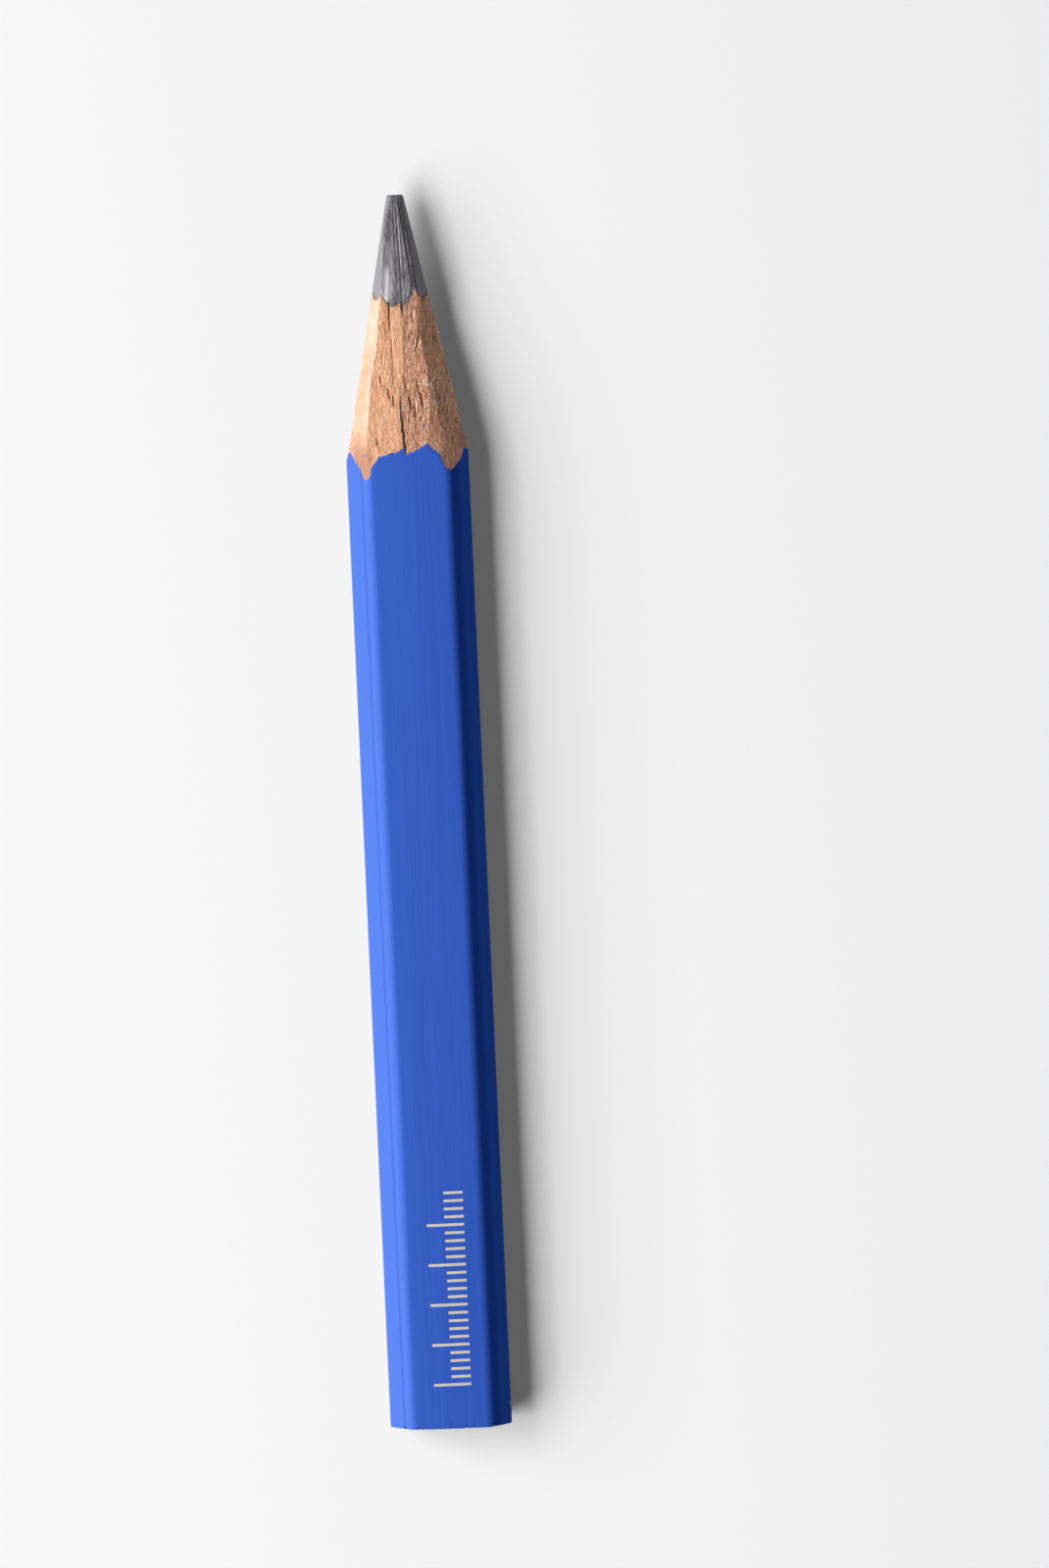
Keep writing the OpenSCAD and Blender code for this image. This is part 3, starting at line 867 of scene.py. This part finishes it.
# %% Lacquer
def lacquer():
    f = Finish("lacquer")
    telegraphed = f.fibres(0.22, 22.0, 3.0, 5.0)
    wide = f.fibres(1.6, 60.0, 2.0, 1.0)
    peel = f.fibres(0.28, 0.34, 2.0, 2.0)
    towards_end = f.s.above(20, LENGTH)
    tone = f.blend(towards_end, (0.031, 0.1, 0.515), (0.028, 0.094, 0.5))
    tone = f.blend(telegraphed.above(0.45, 0.7) * 0.3, tone, (0.044, 0.132, 0.6))
    tone = f.blend(wide.above(0.45, 0.65) * 0.25, tone, (0.022, 0.076, 0.42))
    # painted sheen: the left slope, which faces the lights, is painted a paler blue
    tone = f.blend(f.x.above(-4.5, -5.3), tone, (0.056, 0.14, 0.56))
    # painted shade: the right slope is painted a deeper blue, darker still in a band below its shoulder
    tone = f.blend(f.x.above(4.9, 5.6) * 0.8, tone, (0.006, 0.085, 0.55))
    tone = f.blend(f.x.above(4.9, 5.4) * f.x.above(6.6, 5.7) * 0.7, tone, (0.002, 0.04, 0.34))
    # painted shade: the fine groove on the left slope is painted a darker blue
    groove = f.x.above(-5.93, -5.8) * f.x.above(-5.5, -5.65) * f.h.above(0, 1)
    tone = f.blend(groove, tone, (0.04, 0.112, 0.49))
    # the lacquer is painted darker round each chip at the sawn edge and along one scratch
    tone = f.blend(f.painted("darker_round_chips") * 0.85, tone, (0.004, 0.012, 0.1))
    sawn = f.s.above(LENGTH - 0.12, LENGTH - 0.02)
    return f.surface(dull=f.x.above(4.9, 5.5) * 0.75, Base_Color=tone,
                     Roughness=0.5 + sawn * 0.3 + peel * 0.08,
                     Specular_IOR_Level=0.4, Specular_Tint=(0.35, 0.56, 1.0, 1.0),
                     Normal=f.bump(telegraphed * 0.8 + peel * 0.2, 0.02))


# %% Ink
def ink():
    f = Finish("ink")
    worn = f.fibres(0.3, 1.5, 3.0, 2.0).above(0.3, 0.75)
    tone = f.blend(worn, (0.62, 0.58, 0.52), (0.56, 0.53, 0.49))
    return f.surface(Base_Color=tone, Roughness=0.55)


FINISHES = {"graphite": graphite(), "bare_wood": bare_wood(), "lacquer": lacquer()}
for node, piece in PIECES.items():
    piece.data.materials.clear()
    piece.data.materials.append(FINISHES[SLOTS[node]])
print("finishes:", ", ".join(FINISHES))

# %% [markdown]
# ## A plain scale, printed on the lacquer
#
# Carpenter's pencils often carry a scale. This one is a row of ticks a millimetre apart, every fifth one
# longer, in pale ink. Ink has almost no thickness, but as a thin closed solid it stays crisp from every
# side.

# %% The scale
SCALE_FROM_END, SCALE_TICKS, TICK_PITCH, LONG_EVERY = 5.6, 25, 1.0, 5
TICK_WIDTH, LONG_TICK, SHORT_TICK = 0.34, 4.6, 2.4
SCALE_EDGE, INK_THICKNESS, INK_SUNK, BAR_SPANS = 2.7, 0.012, 0.02, 6


def bar(x, s):
    """Rings of a flat bar from one x to another, between two s values, lying on the crowned face."""
    along = np.linspace(*x, BAR_SPANS + 1)
    face = 2 * AXIS_Z - crown(along)
    section = ((s[0], -INK_SUNK), (s[0], INK_THICKNESS), (s[1], INK_THICKNESS), (s[1], -INK_SUNK))
    return np.stack([np.stack([along, 0 * along + TIP_Y - at, face + lift], 1) for at, lift in section], 1)


corners, faces = [], []
for tick in range(SCALE_TICKS):
    middle = LENGTH - SCALE_FROM_END - tick * TICK_PITCH
    reach = SHORT_TICK if tick % LONG_EVERY else LONG_TICK
    first = len(corners)
    edges = (middle - TICK_WIDTH / 2, middle + TICK_WIDTH / 2)
    corners += bar((SCALE_EDGE - reach, SCALE_EDGE), edges).reshape(-1, 3).tolist()
    faces += [tuple(first + k for k in (3, 2, 1, 0)), tuple(first + 4 * BAR_SPANS + k for k in range(4))]
    for span in range(BAR_SPANS):
        ring = first + 4 * span
        for k in range(4):
            after = (k + 1) % 4
            faces.append((ring + k, ring + after, ring + after + 4, ring + k + 4))
mesh = bpy.data.meshes.new("printed_scale")
mesh.from_pydata((np.array(corners) * MM).tolist(), [], faces)
printed_scale = bpy.data.objects.new("printed_scale", mesh)
bpy.context.scene.collection.objects.link(printed_scale)
mesh.materials.append(ink())
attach(printed_scale, "root")
print(f"{SCALE_TICKS} ticks over {(SCALE_TICKS - 1) * TICK_PITCH:.0f} mm")

# %% [markdown]
# ## Table, light and camera
#
# The pencil lies on a pale table top. Two soft boxes stand on its left, one high and one lower, so the
# shadow on the right has a dark core and a long pale edge. The room adds very little. The pieces are hidden
# from diffuse rays, so that blue and orange light doesn't wash over the table beside them. The camera looks
# almost straight down, from far away, so the long stick doesn't taper.

# %% The table
FLOOR_HALF, FLOOR_DROP = 1500.0, 0.02


def table_top():
    mesh = bpy.data.meshes.new("table_top")
    mesh.from_pydata([(sx * FLOOR_HALF * MM, sy * FLOOR_HALF * MM, -FLOOR_DROP * MM)
                      for sx, sy in ((-1, -1), (1, -1), (1, 1), (-1, 1))], [], [(0, 1, 2, 3)])
    floor = bpy.data.objects.new("table_top", mesh)
    bpy.context.scene.collection.objects.link(floor)
    pale_grey = (0.88, 0.88, 0.885, 1)
    finish = Finish("table_top").surface(Base_Color=pale_grey, Roughness=0.85, Specular_IOR_Level=0.1)
    mesh.materials.append(finish)
    return floor


table_top()

# %% Lights
LIGHT_DISTANCE, TOWARDS_TIP = 2.0, -4
ROOM_LIGHT = 0.075


def soft_box(name, elevation, width, height, watts):
    """A light on the pencil's left, so many degrees up, facing its middle."""
    lamp = bpy.data.lights.new(name, "AREA")
    lamp.shape, lamp.size, lamp.size_y, lamp.energy = "RECTANGLE", width, height, watts
    box = bpy.data.objects.new(name, lamp)
    bpy.context.scene.collection.objects.link(box)
    up, turn = math.radians(elevation), math.radians(TOWARDS_TIP)
    towards = Vector((-math.cos(up) * math.cos(turn), math.cos(up) * math.sin(turn), math.sin(up)))
    box.location = towards * LIGHT_DISTANCE
    box.rotation_euler = towards.to_track_quat("Z", "Y").to_euler()
    box.visible_camera = False
    return box


soft_box("high_box", elevation=50.5, width=2.6, height=0.88, watts=41.5)
soft_box("low_box", elevation=29, width=3.0, height=1.0, watts=35.5)
world = bpy.data.worlds.new("room")
bpy.context.scene.world = world
world.use_nodes = True
room = world.node_tree.nodes["Background"]
room.inputs["Color"].default_value = (1, 1, 1, 1)
room.inputs["Strength"].default_value = ROOM_LIGHT
bpy.context.scene.view_settings.view_transform = "Standard"
for piece in [*PIECES.values(), printed_scale]:
    piece.visible_diffuse = False
print(f"two soft boxes {LIGHT_DISTANCE} m away, and a room at {ROOM_LIGHT}")

# %% Camera
LEAN, ROLL = math.radians(8), 0.0445
CAMERA_DISTANCE, FRAME_LONG = 2.0, 0.193
AIM = Vector((0.01256, 0.003, 0.00375))

camera = bpy.data.objects.new("camera", bpy.data.cameras.new("camera"))
bpy.context.scene.collection.objects.link(camera)
back = Vector((0, math.sin(LEAN), math.cos(LEAN)))
right = Vector((1, 0, 0)) * math.cos(ROLL) + back.cross(Vector((1, 0, 0))) * -math.sin(ROLL)
up = back.cross(right)
turn = Matrix((right, up, back)).transposed()
camera.matrix_world = Matrix.Translation(AIM + back * CAMERA_DISTANCE) @ turn.to_4x4()
camera.data.sensor_width = 36.0
camera.data.lens = camera.data.sensor_width * CAMERA_DISTANCE / FRAME_LONG
bpy.context.scene.camera = camera
print(f"a {camera.data.lens:.0f} mm lens, {CAMERA_DISTANCE} m away")

# %% The end
bpy.context.view_layer.update()
